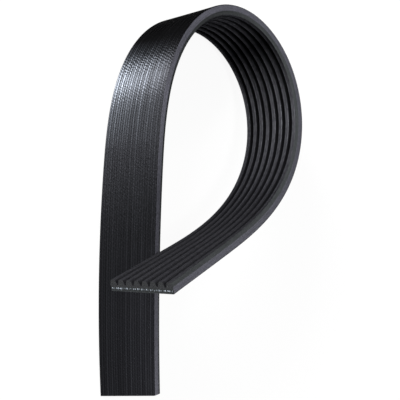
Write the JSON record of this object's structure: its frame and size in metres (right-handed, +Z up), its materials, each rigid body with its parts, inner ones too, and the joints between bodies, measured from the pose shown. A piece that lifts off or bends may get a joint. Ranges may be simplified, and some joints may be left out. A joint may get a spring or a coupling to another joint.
{
  "type": "serpentine belt",
  "caption": "Ribbed rubber drive belt, a cut length bent into an open loop that crosses over itself, with smooth back, V ribs inside and cord ends at the cuts.",
  "frame": {"origin": "middle of the resting belt's box, on the surface that it lies on", "axes": "+Z up from the surface, +Y from the foot's cut end along the straight stretch towards the loop, +X from the straight stretch's smooth back towards its ribs"},
  "size_m": [0.1104, 0.1548, 0.0645],
  "materials": {
    "rubber": "satin",
    "cord": "cut fibre ends"
  },
  "bodies": {
    "root": {"belt": "rubber"}
  },
  "joints": []
}
